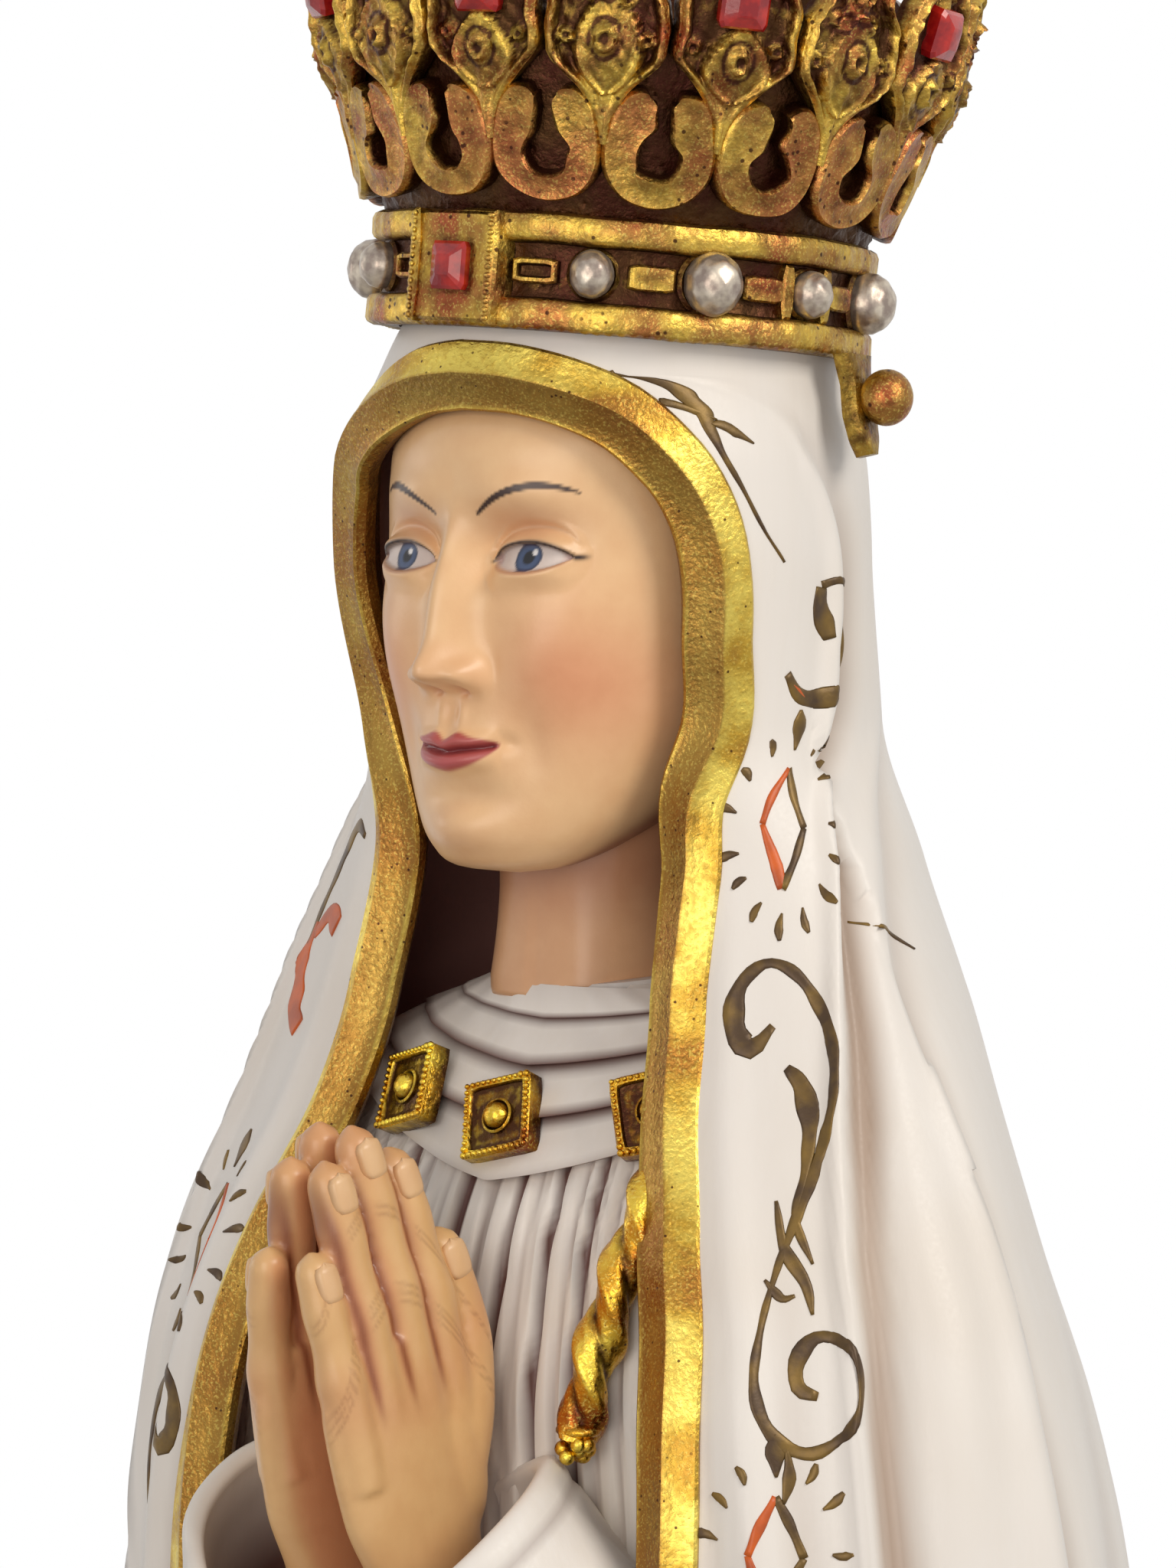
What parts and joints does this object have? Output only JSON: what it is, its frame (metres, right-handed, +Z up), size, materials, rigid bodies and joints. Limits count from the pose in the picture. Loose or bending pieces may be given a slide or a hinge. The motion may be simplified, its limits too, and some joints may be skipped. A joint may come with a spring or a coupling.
{
  "type": "crowned madonna statue",
  "caption": "Carved and painted standing figure in a gold-edged white veil, hands joined in prayer, on a cloud and octagonal plinth, with a gilded openwork crown that lifts off.",
  "frame": {"origin": "middle of the plinth's underside", "axes": "+Z up, the figure looks along -Y and its left hand is at +X"},
  "size_m": [0.25, 0.218, 1.0152],
  "materials": {
    "veil": "satin off-white paint over carved wood",
    "veil_lining": "matt dusky mauve paint over carved wood",
    "veil_border": "gold leaf over red-brown bole, rubbed at the edges",
    "brushwork": "hand-painted bronze strokes with a semi-gloss sheen",
    "brushwork_orange": "hand-painted orange-red strokes",
    "tunic": "satin white paint with grey-brown wash in the folds",
    "skin": "semi-gloss flesh paint, blended by hand",
    "gilding": "burnished gold leaf",
    "crown_gold": "gold leaf with a dark red-brown patina in the hollows",
    "pearl": "silver-grey metallic paint",
    "gem": "clear red lacquer over facets",
    "cloud": "matt pale blue-white paint",
    "plinth_wood": "gold paint with an umber wash",
    "raw_wood": "bare limewood",
    "fixing_steel": "zinc plated"
  },
  "bodies": {
    "figure": {"plinth": "plinth_wood", "cloud_base": "cloud", "base_washer": "fixing_steel", "base_nut": "fixing_steel", "base_bolt": "fixing_steel", "mantle_center": "veil", "mantle_side_left": "veil", "mantle_side_right": "veil", "tunic_block": "tunic", "collar": "tunic", "clasp_center": "gilding", "clasp_left": "gilding", "clasp_right": "gilding", "sleeve_left": "tunic", "sleeve_right": "tunic", "hand_left": "skin", "hand_right": "skin", "wrist_dowel_left": "raw_wood", "wrist_dowel_right": "raw_wood", "carved_cord": "gilding", "carved_ball": "gilding", "carved_tail": "gilding", "hem_star": "gilding", "foot_left": "skin", "foot_right": "skin", "head": "skin", "neck_dowel": "raw_wood"},
    "crown": {"crown_band": "crown_gold", "band_pearls": "pearl", "gem_plates": "crown_gold", "band_gems": "gem", "crown_basket": "crown_gold", "crown_scrolls": "crown_gold", "leaves_tall": "crown_gold", "leaves_short": "crown_gold", "leaf_gems": "gem", "crown_arches": "crown_gold", "arch_hub": "crown_gold", "crown_orb": "crown_gold", "crown_cross": "crown_gold", "crown_tabs": "crown_gold", "tab_balls": "crown_gold"}
  },
  "joints": [
    {"name": "crown_lift", "type": "slide", "parent": "figure", "child": "crown", "axis": [0.0801, 0.0523, 0.9954], "range_m": [0, 0.06]}
  ]
}
